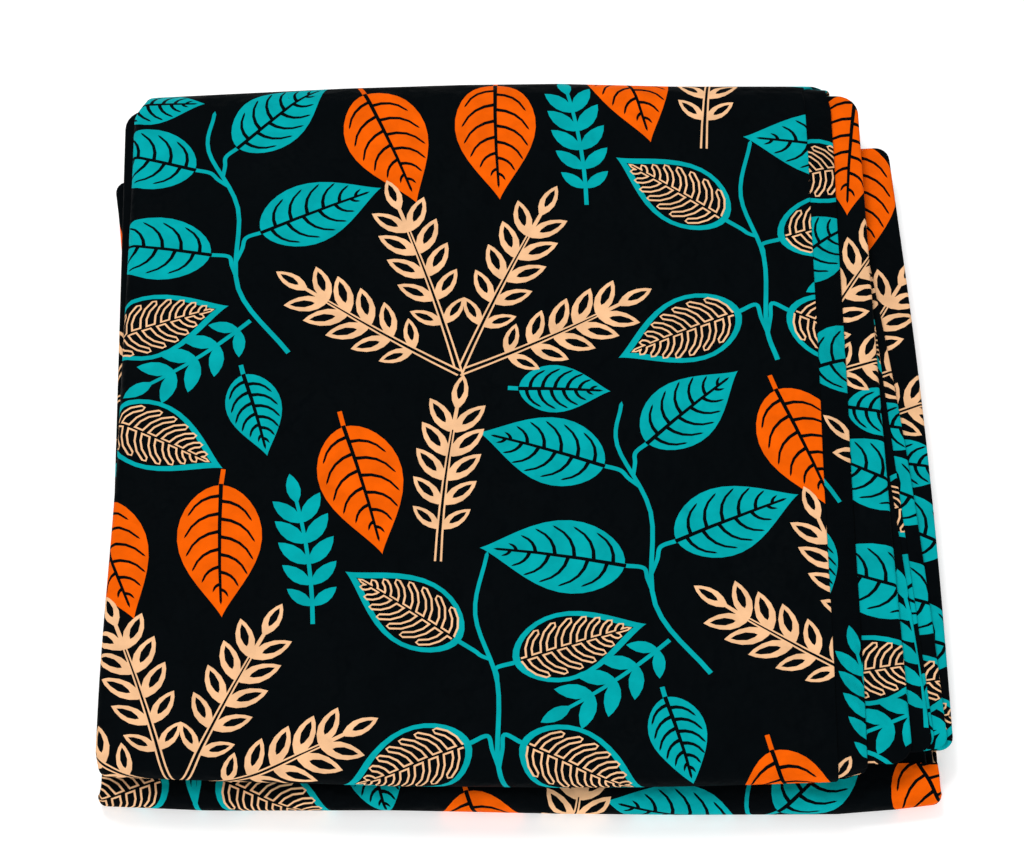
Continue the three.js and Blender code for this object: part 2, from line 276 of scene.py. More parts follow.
# Each of the two branches: its stem from foot to tip, its leaves, and its place and turn in the repeat.
COMB_STEM = [3 - 54j, -34j, 4 + 6j, -3 + 44j, 6 + 76j]
COMB_LEAVES = [
    # x, y, turn, length, width, bend
    (12, -26, -32, 68, 38, 0.05),
    (-12, -24, 198, 68, 38, -0.05),
    (13, 16, 12, 68, 37, 0.05),
    (-12, 30, 140, 68, 38, -0.04),
]
TEAL_STEM = [14 - 92j, -4 - 50j, 5, -3 + 40j, 4 + 62j]
TEAL_LEAVES = [
    (14, -18, 11, 66, 38, 0.05),
    (-14, -26, 160, 72, 40, -0.06),
    (-12, 30, 151, 65, 38, -0.05),
    (12, 38, 30, 62, 36, 0.05),
]
COMB_PLACE = (244 + 66j, -4)
TEAL_PLACE = (334 + 150j, 2)
LOOSE_LEAVES = [
    # ink, x, y, turn, length, width, bend
    (ORANGE, 64, 207, -78, 74, 42, 0.04),
    (ORANGE, 132, 202, -98, 74, 42, -0.05),
    (ORANGE, 197, 224, -84, 74, 42, 0.05),
    (TEAL, 112, 18, -12, 46, 27, 0.05),
    (TEAL, 152, 262, -84, 48, 28, 0.05),
]
FERNS = [
    # ink, x, y, turn, length, bend, leaflet, pairs, and how much of the stem is bare
    (CREAM, 84, 32, 16, 92, -0.06, 19, 5, 0.28),
    (CREAM, 84, 32, 56, 104, 0.05, 19, 5, 0.28),
    (CREAM, 84, 32, 98, 104, -0.05, 19, 5, 0.28),
    (CREAM, 84, 32, 138, 94, 0.06, 19, 5, 0.28),
    (CREAM, 231, 142, 74, 88, 0.07, 19, 5, 0.20),
    (TEAL, 165, 118, 88, 70, -0.12, 16, 5, 0.14),
    (TEAL, 335, 80, 206, 62, 0.12, 16, 4, 0.12),
]


def branch(points, leaves, make_leaf):
    """A stem with leaves on both sides, each on a short stalk that leaves the stem lower down."""
    main = smooth(points)
    shapes = [(TEAL, stroke(main, *STEM, 2))]
    for x, y, turn, length, width, bend in leaves:
        foot = complex(x, y)
        start = min(main, key=lambda p: abs(p.imag - y + STALK_DROP))
        behind = foot - cmath.rect(STALK_END * length, math.radians(turn))
        stalk = smooth([start, mix(start, behind, 0.6) - 0.8j, behind, foot])
        shapes.append((TEAL, stroke(stalk, *STALK)))
        shapes += turned(make_leaf(length, width, bend), foot, turn)
    return shapes


def teal_leaf(length, width, bend):
    return solid_leaf(TEAL, length, width, bend, stub=0)


def half_repeat():
    """All motifs that stand once in half a repeat."""
    shapes = turned(branch(COMB_STEM, COMB_LEAVES, comb_leaf), *COMB_PLACE)
    shapes += turned(branch(TEAL_STEM, TEAL_LEAVES, teal_leaf), *TEAL_PLACE)
    for ink, x, y, turn, *sizes in LOOSE_LEAVES:
        shapes += turned(solid_leaf(ink, *sizes), complex(x, y), turn)
    for ink, x, y, turn, length, bend, leaf, pairs, bare in FERNS:
        shapes += turned(sprig(ink, length, bend, leaf, pairs, ink == CREAM, bare), complex(x, y), turn)
    return [(ink, np.array(outline, complex)) for ink, outline in shapes]


HALF_REPEAT = half_repeat()


def print_over(box, turn, shift):
    """The shapes of the print that fall on a box of flat cloth, with the print turned and moved."""
    x0, y0, x1, y1 = box
    spin = cmath.rect(1, math.radians(turn))
    corners = np.array([complex(x, y) for x in (x0, x1) for y in (y0, y1)])
    corners = (corners - shift) / spin
    # Motifs lie up to two columns past their half repeat's corner, so more of them are tried than the
    # box has.
    columns = range(math.floor(corners.real.min() / (REPEAT_X / 2)) - 3,
                    math.ceil(corners.real.max() / (REPEAT_X / 2)) + 1)
    rows = range(math.floor(corners.imag.min() / REPEAT_Y) - 2,
                 math.ceil(corners.imag.max() / REPEAT_Y) + 1)
    found = []
    for i in columns:
        for j in rows:
            step = complex(i * REPEAT_X / 2, (i % 2) * REPEAT_Y / 2 + j * REPEAT_Y)
            for ink, outline in HALF_REPEAT:
                points = (outline + step) * spin + shift
                low_x, low_y, high_x, high_y = box_of(points)
                if high_x > x0 and high_y > y0 and low_x < x1 and low_y < y1:
                    found.append((ink, points, (low_x, low_y, high_x, high_y)))
    return found


# -------------------- sizes shared with the solids

CLOTH = 1.2                  # wall of the wrap
GAP = 0.3                    # between neighbouring stretches of cloth
UPPER_NOSE_TIP = -199.7
LOWER_NOSE_TIP = -202.2
SPINE_TIP = 202.2
SPINE_DEPTH = 21
SPINE_SQUARENESS = 2.15
FLAP_END = -152
TOP_SWELL = 0.9

STACK = [
    ("underside", CLOTH), ("lower_layers", 14.1), ("lower_flap", CLOTH),
    ("middle_panel", 3.4), ("upper_flap", CLOTH), ("fourth_panel", 2.1),
    ("third_panel", 1.7), ("second_panel", 1.8), ("first_panel", 3.3),
    ("upper_layers", 7.4), ("top_panel", CLOTH),
]
LEVELS = {}
height_so_far = -GAP
for level_name, thickness in STACK:
    LEVELS[level_name] = (height_so_far + GAP, height_so_far + GAP + thickness)
    height_so_far += GAP + thickness
HEIGHT = height_so_far
LEVELS["spine_layers"] = (LEVELS["lower_layers"][1] + GAP, LEVELS["first_panel"][0] - GAP)

# Each panel's edges in plan: the X of its side edges at the back and front, the Y of its
# ends at the left and right, the radius of its corners, how far its right edge curves out,
# and how far its left edge curves in.
PANEL_COLUMNS = ("left_back left_front right_back right_front "
                 "back_left back_right front_left front_right corner bow hollow").split()
PANEL_ROWS = {
    "lower_layers": (-195.0, -202.6, 178.0, 203.4, 189.2, 195.4, -198.0, -197.0, 13, 0, 0),
    "middle_panel": (-210.9, -195.6, 193.2, 211.6, 146.4, 167.8, -187.5, -175.4, 7, 3.2, 7.5),
    "fourth_panel": (-200.5, -200.4, 166.0, 208.6, 166.0, 186.0, -184.0, -176.8, 7, 5.5, 0),
    "third_panel": (-204.6, -198.2, 171.0, 202.2, 164.5, 185.0, -188.0, -178.2, 8, 0, 0),
    "second_panel": (-203.0, -199.8, 165.7, 201.0, 166.5, 186.8, -186.0, -180.4, 8, -1, 0),
    "first_panel": (-205.0, -199.0, 177.2, 190.6, 183.0, 192.4, -189.0, -187.8, 11, -1.2, 0),
    "upper_layers": (-196.8, -200.4, 158.4, 163.0, 190.9, 198.4, -192.2, -194.6, 13, 0, 0),
    "spine_layers": (-185.0, -188.0, 174.0, 178.0, 190.2, 196.6, 151.0, 170.6, 3.4, 0, 0),
}
HOLLOW_POWER = 0.6           # a hollow edge turns in soon after its corner
PANELS = {name: dict(zip(PANEL_COLUMNS, row)) for name, row in PANEL_ROWS.items()}

# How far each fold edge of the hidden layers stands back at the left and right, from the lowest up.
FOLDS = {
    "lower_layers": [(2.6, 3.4), (3.2, 2.9), (0.8, 0.0), (2.2, 3.4)],
    "upper_layers": [(1.6, 0.2), (0.2, 3.6), (2.6, 9.4)],
    "spine_layers": [(0, 0), (0, 1.5), (2, 6), (1, 19)],
}
SPINE_STEP = 18.5            # the spine's upper layers start this far behind the lower ones

# The wrap's edges along its way. "at" counts its stretches: upper flap, upper nose, top,
# spine, underside, lower nose, lower flap. "lip" is how far the left edge rolls in, and
# "drop" how far the right one does over the width "strip".
EDGE_COLUMNS = "at left right lip strip drop".split()
WRAP_EDGES = np.array([
    (0.00, -193.0, 158.0, 0.0, 12.0, 0.0),
    (1.00, -198.5, 164.0, 0.0, 12.0, 0.0),
    (1.50, -203.0, 167.9, 4.6, 14.0, 6.0),
    (2.05, -204.0, 167.7, 4.8, 14.4, 7.2),
    (2.50, -200.2, 165.4, 5.0, 14.0, 7.3),
    (2.90, -199.4, 163.4, 4.8, 13.6, 7.2),
    (3.00, -199.6, 162.6, 4.6, 13.5, 6.4),
    (3.25, -195.0, 160.0, 4.0, 13.0, 2.2),
    (3.50, -190.0, 163.0, 3.0, 13.0, 1.4),
    (3.75, -192.5, 170.0, 2.4, 8.0, 1.4),
    (4.00, -198.0, 179.5, 2.0, 2.0, 1.8),
    (5.00, -204.0, 205.2, 2.0, 2.0, 1.8),
    (5.50, -204.7, 205.8, 4.4, 5.0, 4.4),
    (6.00, -202.5, 204.4, 0.0, 5.0, 0.0),
    (7.00, -197.0, 201.0, 0.0, 5.0, 0.0),
])

# How far the wrap's turns lie from straight lines: at an X, the Y by which the upper nose,
# the lower nose and the spine are moved.
WRAP_TURNS = np.array([
    (-205, 5.8, 2.5, -9.6),
    (-150, 3.6, 0.0, -6.3),
    (-60, 0.8, 0.2, -1.2),
    (20, 0.0, -1.6, 0.0),
    (80, 0.4, -2.2, -1.7),
    (165, 3.4, -1.8, -1.7),
    (206, 3.6, 3.6, -1.7),
])
TURN_FADE = 0.35             # the share of a flat stretch over which a turn's move fades out

UPPER_NOSE = ((HEIGHT - LEVELS["upper_flap"][0]) / 2, (HEIGHT + LEVELS["upper_flap"][0]) / 2)
LOWER_NOSE = (LEVELS["lower_flap"][1] / 2, LEVELS["lower_flap"][1] / 2)
SPINE_START = SPINE_TIP - SPINE_DEPTH
UPPER_NOSE_Y = UPPER_NOSE_TIP + UPPER_NOSE[0]
LOWER_NOSE_Y = LOWER_NOSE_TIP + LOWER_NOSE[0]


# -------------------- cutting cloth along its print

SHELL = 0.4                  # thickness of a shell
TILE = 62                    # the cloth is cut into triangles a tile at a time
TILE_STEPS = 8               # points along each side of a tile
CUT_MERGE = 1e-4             # the cutting tool joins points that lie this near
CELL = 0.02                  # points are looked up in cells of this size,
SAME = 0.004                 # and are one point if they lie this near
UV_GAP = 6                   # between the shells' stretches in the UV map


def ccw(outline):
    """The outline, turned to run counterclockwise."""
    area = np.sum(outline.real * np.roll(outline.imag, -1) - outline.imag * np.roll(outline.real, -1))
    return outline if area > 0 else outline[::-1]


def overlaps(box, tile):
    return box[2] >= tile[0] and box[3] >= tile[1] and box[0] <= tile[2] and box[1] <= tile[3]


def box_of(points):
    return points.real.min(), points.imag.min(), points.real.max(), points.imag.max()


def tile_triangles(tile, outline, shapes, points, edges):
    """Cuts one tile of cloth along its print: the triangles' flat corners, and their inks."""
    x0, y0, x1, y1 = tile
    rim = []
    for a, b in chain([(x0, y0), (x1, y0), (x1, y1), (x0, y1)], closed=True):
        # The next tile has the same side, so both are cut from the low end to the high one.
        backwards = a > b
        low, high = (b, a) if backwards else (a, b)
        side = [(mix(low[0], high[0], k / TILE_STEPS), mix(low[1], high[1], k / TILE_STEPS))
                for k in range(TILE_STEPS + 1)]
        rim += (side[::-1] if backwards else side)[:-1]
    coords, faces, inks = [], [], [None, None]

    def add_face(corners):
        faces.append(list(range(len(coords), len(coords) + len(corners))))
        coords.extend(corners)

    add_face(rim)
    add_face([(p.real, p.imag) for p in outline])
    for ink, corners, _ in shapes:
        add_face([(p.real, p.imag) for p in corners])
        inks.append(ink)
    pairs = []
    for a, b in edges:
        pairs.append((len(coords), len(coords) + 1))
        coords.extend([(a.real, a.imag), (b.real, b.imag)])
    coords.extend((p.real, p.imag) for p in points)
    # Type 1 keeps what lies inside a face. The result's first, third and sixth entries are its points,
    # its triangles and the faces that each triangle comes from: 0 is the rim, 1 is the outline.
    result = delaunay_2d_cdt([Vector(c) for c in coords], pairs, faces, 1, CUT_MERGE, True)
    triangles, colours = [], []
    for face, sources in zip(result[2], result[5]):
        if 0 in sources and 1 in sources:
            triangles.append([result[0][v] for v in face])
            top = max(sources)
            colours.append(inks[top] if top > 1 else GROUND)
    return triangles, colours


class Merger:
    """Numbers points, giving the same number to points that lie in one place."""

    def __init__(self):
        self.cells = {}
        self.points = []

    def number(self, x, y):
        cx, cy = math.floor(x / CELL), math.floor(y / CELL)
        for i in (cx - 1, cx, cx + 1):
            for j in (cy - 1, cy, cy + 1):
                for k in self.cells.get((i, j), ()):
                    if abs(self.points[k].real - x) < SAME and abs(self.points[k].imag - y) < SAME:
                        return k
        self.cells.setdefault((cx, cy), []).append(len(self.points))
        self.points.append(complex(x, y))
        return len(self.points) - 1


def flat_cut(outline, edges, spacing, shapes):
    """Cuts a flat sheet along its print. Returns its points, its triangles and their inks."""
    outline = ccw(np.array(outline))
    x0, y0, x1, y1 = box_of(outline)
    columns = max(1, round((x1 - x0) / TILE))
    rows = max(1, round((y1 - y0) / TILE))
    edge_boxes = [box_of(np.array(edge)) for edge in edges]
    shapes = [(ink, ccw(points), box) for ink, points, box in shapes]
    merger, triangles, inks = Merger(), [], []
    for i in range(columns):
        for j in range(rows):
            tile = (mix(x0, x1, i / columns), mix(y0, y1, j / rows),
                    mix(x0, x1, (i + 1) / columns), mix(y0, y1, (j + 1) / rows))
            across = max(1, round((tile[2] - tile[0]) / spacing))
            along = max(1, round((tile[3] - tile[1]) / spacing))
            grid = [complex(mix(tile[0], tile[2], (a + 0.25 + 0.5 * (b % 2)) / across),
                            mix(tile[1], tile[3], (b + 0.5) / along))
                    for a in range(across) for b in range(along)]
            found, colours = tile_triangles(
                tile, outline, [s for s in shapes if overlaps(s[2], tile)], grid,
                [e for e, box in zip(edges, edge_boxes) if overlaps(box, tile)])
            for triangle, ink in zip(found, colours):
                corners = [merger.number(v.x, v.y) for v in triangle]
                if len(set(corners)) == 3:
                    triangles.append(corners)
                    inks.append(ink)
    return np.array(merger.points), np.array(triangles), inks


def surface_normals(place, where):
    """Unit normals of a surface, from how it moves along each way of the flat cloth."""
    step = 0.05
    across = place(where + step) - place(where - step)
    along = place(where + 1j * step) - place(where - 1j * step)
    normal = np.cross(across, along)
    return normal / np.maximum(np.linalg.norm(normal, axis=1, keepdims=True), 1e-12)


INKS = {                     # linear colours
    GROUND: (0.0013, 0.0023, 0.0030),
    TEAL: (0.0005, 0.362, 0.385),
    ORANGE: (0.850, 0.110, 0.001),
    CREAM: (0.870, 0.510, 0.275),
}


def shell_mesh(name, sheets, material):
    """One object of thin shells. Each sheet is (outline, edges, spacing, shapes, place)."""
    vertices, normals, flats, faces, face_inks, uvs = [], [], [], [], [], []
    count, reach = 0, 0.0
    for outline, edges, spacing, shapes, place in sheets:
        where, triangles, inks = flat_cut(outline, edges, spacing, shapes)
        outer = place(where)
        normal = surface_normals(place, where)
        size = len(where)
        vertices += [outer, outer - normal * SHELL]
        normals += [normal, -normal]
        flats += [where, where]
        x0, y0, x1, _ = box_of(where)
        for _ in ("outside", "inside"):
            uvs.append(where - complex(x0, y0) + reach)
            reach += x1 - x0 + UV_GAP
        sides = {}               # the edges that only one triangle has, which the rim closes
        for (a, b, c), ink in zip(triangles.tolist(), inks):
            faces.append((count + a, count + b, count + c))
            faces.append((count + size + c, count + size + b, count + size + a))
            face_inks += [ink, ink]
            for edge in ((a, b), (b, c), (c, a)):
                if edge[::-1] in sides:
                    del sides[edge[::-1]]
                else:
                    sides[edge] = ink
        for (a, b), ink in sides.items():
            faces.append((count + b, count + a, count + size + a, count + size + b))
            face_inks.append(ink)
        count += 2 * size
    mesh = bpy.data.meshes.new(name)
    mesh.from_pydata((np.concatenate(vertices) * MM).tolist(), [], faces)
    corners = np.array([v for face in faces for v in face])
    corner_inks = np.array([(*INKS[ink], 1.0) for face, ink in zip(faces, face_inks) for _ in face],
                           dtype=np.float32)
    paint = mesh.color_attributes.new("print", "FLOAT_COLOR", "CORNER")
    paint.data.foreach_set("color", corner_inks.ravel())
    flat = np.concatenate(flats)
    weave = mesh.attributes.new("flat", "FLOAT_VECTOR", "POINT")
    weave.data.foreach_set("vector", np.stack([flat.real, flat.imag, 0 * flat.real], 1).ravel())
    uv = np.concatenate(uvs)[corners]
    uv = uv / max(uv.real.max(), uv.imag.max())
    uv_map = mesh.uv_layers.new(name="OFBake")
    uv_map.data.foreach_set("uv", np.stack([uv.real, uv.imag], 1).ravel())
    mesh.polygons.foreach_set("use_smooth", [True] * len(faces))
    mesh.normals_split_custom_set_from_vertices(np.concatenate(normals).tolist())
    mesh.materials.append(material)
    mesh.update()
    piece = bpy.data.objects.new(name, mesh)
    bpy.context.scene.collection.objects.link(piece)
    return piece


def offset_print(outline, turn, shift):
    return print_over(box_of(np.array(outline)), turn, shift)


# -------------------- the wrap's surface

def wrap_line(at):
    """The wrap's outer line in the plane across X: its Y, Z and outward direction."""
    stretch = min(int(at), 6)
    t = at - stretch
    turn = (t - 0.5) * math.pi
    if stretch in (1, 5):
        (radius, z), y = (UPPER_NOSE, UPPER_NOSE_Y) if stretch == 1 else (LOWER_NOSE, LOWER_NOSE_Y)
        ny, nz = -math.cos(turn), math.sin(turn)
        return y + radius * ny, z + radius * nz, ny, nz
    if stretch == 3:
        power = 2 / SPINE_SQUARENESS
        out, up = math.sin(t * math.pi), math.cos(t * math.pi)
        return (SPINE_START + SPINE_DEPTH * abs(out) ** power,
                HEIGHT / 2 + HEIGHT / 2 * math.copysign(abs(up) ** power, up), out, up)
    start, end, z, nz = {
        0: (FLAP_END, UPPER_NOSE_Y, LEVELS["upper_flap"][0], -1),
        2: (UPPER_NOSE_Y, SPINE_START, HEIGHT, 1),
        4: (SPINE_START, LOWER_NOSE_Y, 0.0, -1),
        6: (LOWER_NOSE_Y, FLAP_END, LEVELS["lower_flap"][1], 1),
    }[stretch]
    return mix(start, end, t), z, 0.0, nz


AT = np.linspace(0, 7, 2801)     # places along the wrap's way, 400 to each of its stretches
LINE_TABLE = np.array([wrap_line(at) for at in AT])
ALONG = np.concatenate([[0], np.cumsum(np.hypot(*np.diff(LINE_TABLE[:, :2], axis=0).T))])


def edge_table():
    """The wrap's edge sizes at every place in AT, with no kink at a row."""
    row = np.clip(np.searchsorted(WRAP_EDGES[:, 0], AT), 1, len(WRAP_EDGES) - 1)
    before, after = WRAP_EDGES[row - 1], WRAP_EDGES[row]
    t = ease((AT - before[:, 0]) / (after[:, 0] - before[:, 0]))[:, None]
    return mix(before, after, t)


EDGE_TABLE = edge_table()
# How far the wrap's upper ply ends short of its right edge, where the ply below shows: 1 is all of
# the strip. It runs out in the spine.
SHORT = 1 - ease((AT - 3.12) / 0.45)
UNDER_PLY = 1.15             # the ply that shows beside the top panel lies this far under it
UNDER_PLY_LAP = 3            # and starts this far in under its edge
LEAST_ROLL, LEAST_RIGHT_ROLL = 0.6, 0.8
NOSE = 0.75                  # radius of the small roll at a fold edge
TUCK = 7.0                   # how far a fold edge turns under


def along_at(at):
    return float(np.interp(at, AT, ALONG))


def read_wrap(u, *columns):
    """Sizes of the wrap's edges at a place u along its flat cloth."""
    return [np.interp(u, ALONG, EDGE_TABLE[:, EDGE_COLUMNS.index(name)]) for name in columns]


def rolled(past, first, second):
    """A fold edge: how far it goes across and down, at so much cloth past the start of its roll."""
    turn = np.clip(past / first, 0, math.pi / 2)
    under = np.clip((past - first * math.pi / 2) / second, 0, math.pi / 2)
    tuck = np.maximum(past - (first + second) * math.pi / 2, 0)
    across = np.minimum(past, 0) + first * np.sin(turn) - second * (1 - np.cos(under)) - tuck
    return across, first * (1 - np.cos(turn)) + second * np.sin(under)


# Soft troughs and ridges of the top panel: where, which way they run, how long and wide
# they are, and how high.
CREASES = [
    # x, y, turn, length, width, height
    (-120, 60, 12, 190, 20, 0.55),
    (-30, -60, 100, 150, 24, -0.60),
    (70, 90, 75, 210, 22, 0.60),
    (20, -150, 4, 170, 16, 0.45),
    (-150, -90, 84, 140, 18, 0.50),
    (110, -60, 96, 240, 17, -0.55),
    (-60, 150, 172, 150, 15, 0.50),
    (128, -120, 88, 120, 9, 0.45),
    (60, 10, 28, 130, 26, -0.45),
    (-90, -10, 148, 120, 22, -0.40),
]


def crease_height(x, y):
    total = 0 * x
    for cx, cy, turn, length, width, height in CREASES:
        spin = cmath.rect(1, math.radians(turn))
        along = ((x - cx) * spin.real + (y - cy) * spin.imag) / (length / 2)
        waver = 4 * np.sin(2.2 * along)
        across = (-(x - cx) * spin.imag + (y - cy) * spin.real + waver) / width
        total = total + height * np.exp(-across ** 2 - along ** 4)
    return total


def turn_shift(x, at):
    """How far places on the wrap are moved in Y, because its turns aren't straight."""
    moves = [np.interp(x, WRAP_TURNS[:, 0], WRAP_TURNS[:, k]) for k in (1, 2, 3)]
    total = 0 * x
    for move, (start, end) in zip(moves, ((1, 2), (5, 6), (3, 4))):
        total = total + move * (1 - ease(np.maximum(start - at, at - end) / TURN_FADE))
    return total


TOP_START, TOP_END = 1.9, 3.05   # where on the wrap's way its top panel's swell and creases lie
TOP_LEFT, TOP_RIGHT = -200, 170  # and where they lie across it
TOP_FADES = (30, 25)             # how far in from these places they are whole, along and across
SWELL_REACH = (200, 195)         # how far the swell reaches from the middle, in X and in Y


def on_line(x, u, drop):
    """Points of the wrap: across X, along the flat cloth, and set in by a drop."""
    y, z, ny, nz = (np.interp(u, ALONG, LINE_TABLE[:, k]) for k in range(4))
    on_top = ease((u - along_at(TOP_START)) / TOP_FADES[0]) * ease((along_at(TOP_END) - u) / TOP_FADES[0])
    bulge = [np.cos(np.clip(place / reach, -1, 1) * math.pi / 2)
             for place, reach in zip((x, y), SWELL_REACH)]
    fade = ease((x - TOP_LEFT) / TOP_FADES[1]) * ease((TOP_RIGHT - x) / TOP_FADES[1])
    drop = drop - on_top * (TOP_SWELL * bulge[0] * bulge[1] + fade * crease_height(x, y))
    shift = turn_shift(x, np.interp(u, ALONG, AT))
    return np.stack([x, y - ny * drop + shift, z - nz * drop], 1)


def upper_ply_edges(u):
    """Where the upper ply's left and right edges start to roll in, and the radii of their rolls."""
    left, right, lip, strip, drop = read_wrap(u, "left", "right", "lip", "strip", "drop")
    short = np.interp(u, ALONG, SHORT)
    lip = np.maximum(lip, LEAST_ROLL)
    roll = mix(np.maximum(drop, LEAST_RIGHT_ROLL), LEAST_ROLL, short)
    return left + lip, right - strip * short - roll, lip, roll


def upper_ply(where):
    """Places the upper ply's flat cloth."""
    x, u = where.real, where.imag
    start, end, lip, roll = upper_ply_edges(u)
    left_across, left_drop = rolled(start - x, lip, NOSE)
    right_across, right_drop = rolled(x - end, roll, NOSE)
    x = np.where(x < 0, start - left_across, end + right_across)
    return on_line(x, u, left_drop + right_drop)


def upper_ply_line(u, side, past):
    """A line along the upper ply, at so much of its roll: 1 is a quarter turn, 2 is a half turn, and
    more tucks under."""
    start, end, lip, roll = upper_ply_edges(u)
    first = lip if side < 0 else roll
    cloth = (first * min(past, 1) + NOSE * min(max(past - 1, 0), 1)) * math.pi / 2 + max(past - 2, 0) * TUCK
    return (start - cloth if side < 0 else end + cloth) + 1j * u


NOSE_STEP, SPINE_ROW_STEP = 2.0, 2.6    # between rows of points in the wrap's noses and in its spine
FLAP_SHOWN = 12              # the upper ply's shell ends this far inside the packet
EDGE_STEP = 8                # between points along a ply's edges
UPPER_PLY_GRID, UNDER_PLY_GRID, PANEL_GRID, FOLD_GRID = 12, 9, 16, 12    # between points inside a sheet


def rows_of(start, end, step):
    """Evenly spaced places from start to end, about a step apart."""
    count = max(1, round(abs(end - start) / step))
    return [mix(start, end, k / count) for k in range(count + 1)]


def wrap_rows(first, last):
    """Places along the wrap that its curved stretches need."""
    rows = []
    for start, end, step in ((1, 2, NOSE_STEP), (3, 4, SPINE_ROW_STEP), (5, 6, NOSE_STEP)):
        rows += [u for u in rows_of(along_at(start), along_at(end), step) if first < u < last]
    return rows


def upper_ply_sheet():
    first, last = along_at(1) - FLAP_SHOWN, along_at(6) + FLAP_SHOWN
    u = np.array(rows_of(first, last, EDGE_STEP))
    left = upper_ply_line(u, -1, 3)
    right = upper_ply_line(u, 1, 3)
    outline = list(right) + list(left[::-1])
    edges = []
    for side in (-1, 1):
        for past in (0, 0.25, 0.5, 0.75, 1, 1.33, 1.67, 2):
            edges += chain(list(upper_ply_line(u, side, past)))
    for row in wrap_rows(first, last):
        ends = [upper_ply_line(np.array([row]), side, 2.9)[0] for side in (-1, 1)]
        edges.append(tuple(ends))
    return outline, edges, UPPER_PLY_GRID, offset_print(outline, *WRAP_PRINT), upper_ply


SLOPE_POWER = 1.6            # the ply beside the top panel drops by this power of the way across


def strip_profile(past, width, drop):
    """The ply beside the top panel: across and down, at so much cloth past the start of its slope,
    and the cloth's length to the end of its half turn."""
    slope = SLOPE_POWER * drop / width
    # On average the slope's square is 1 / 2.2 of what it is at the end, as the power is 1.6.
    length = width * (1 + 0.5 * slope ** 2 / 2.2)
    t = np.clip(past / length, 0, 1)
    end = np.arctan(slope)
    turn = np.clip((past - length) / NOSE, 0, math.pi - end)
    tuck = np.maximum(past - length - NOSE * (math.pi - end), 0)
    across = np.minimum(past, 0) + width * t + NOSE * (np.sin(end + turn) - np.sin(end)) - tuck
    down = drop * t ** SLOPE_POWER + NOSE * (np.cos(end) - np.cos(end + turn))
    return across, down, length + NOSE * (math.pi - end)


def under_ply_edge(u):
    """Where the ply beside the top panel starts to slope, how wide its slope is and how far it drops."""
    right, strip, drop = read_wrap(u, "right", "strip", "drop")
    return right - strip - UNDER_PLY_LAP, strip + UNDER_PLY_LAP, np.maximum(drop - UNDER_PLY, 0.3)


def under_ply(where):
    """Places the flat cloth of the ply beside the top panel."""
    x, u = where.real, where.imag
    start, width, drop = under_ply_edge(u)
    across, down, _ = strip_profile(x - start, width, drop)
    return on_line(start + across, u, down + UNDER_PLY)


def under_ply_line(u, share, extra=0.0):
    """A line along this ply, at a share of the cloth that shows, and so much more past it."""
    start, width, drop = under_ply_edge(u)
    return start + strip_profile(0 * u, width, drop)[2] * share + extra + 1j * u


def under_ply_sheet():
    first, last = along_at(1) - 4, along_at(3.62)    # from inside the upper nose to inside the spine
    u = np.array(rows_of(first, last, EDGE_STEP))
    left, right = under_ply_line(u, 0, -14), under_ply_line(u, 1, 5)
    outline = list(right) + list(left[::-1])
    edges = []
    for share in (0, 0.3, 0.55, 0.75, 0.86, 0.9, 0.94, 0.97, 1):
        edges += chain(list(under_ply_line(u, share)))
    for row in wrap_rows(first, last):
        row = np.array([row])
        edges.append((under_ply_line(row, 0, -13)[0], under_ply_line(row, 1, 4.5)[0]))
    return outline, edges, UNDER_PLY_GRID, offset_print(outline, *UNDER_PLY_PRINT), under_ply


# -------------------- single panels

BAND = 52                    # a hidden panel carries its print this far in from its edges
UNDER = 22                   # and turns under this far
WAVE = 0.16                  # height of the waves along a panel's right edge
SIDE_STEP = 12               # between points along a panel's straight sides
CORNER_STEPS = 6             # stretches of line round a corner

# A panel's corners, from the front right one on: which way each lies, and the angle it starts at.
CORNERS = ((1, -1, -90), (1, 1, 0), (-1, 1, 90), (-1, -1, 180))
ROLL_LINES = (0, 30, 60, 90, 120, 150, 180)    # degrees of a half turn at which lines run along it


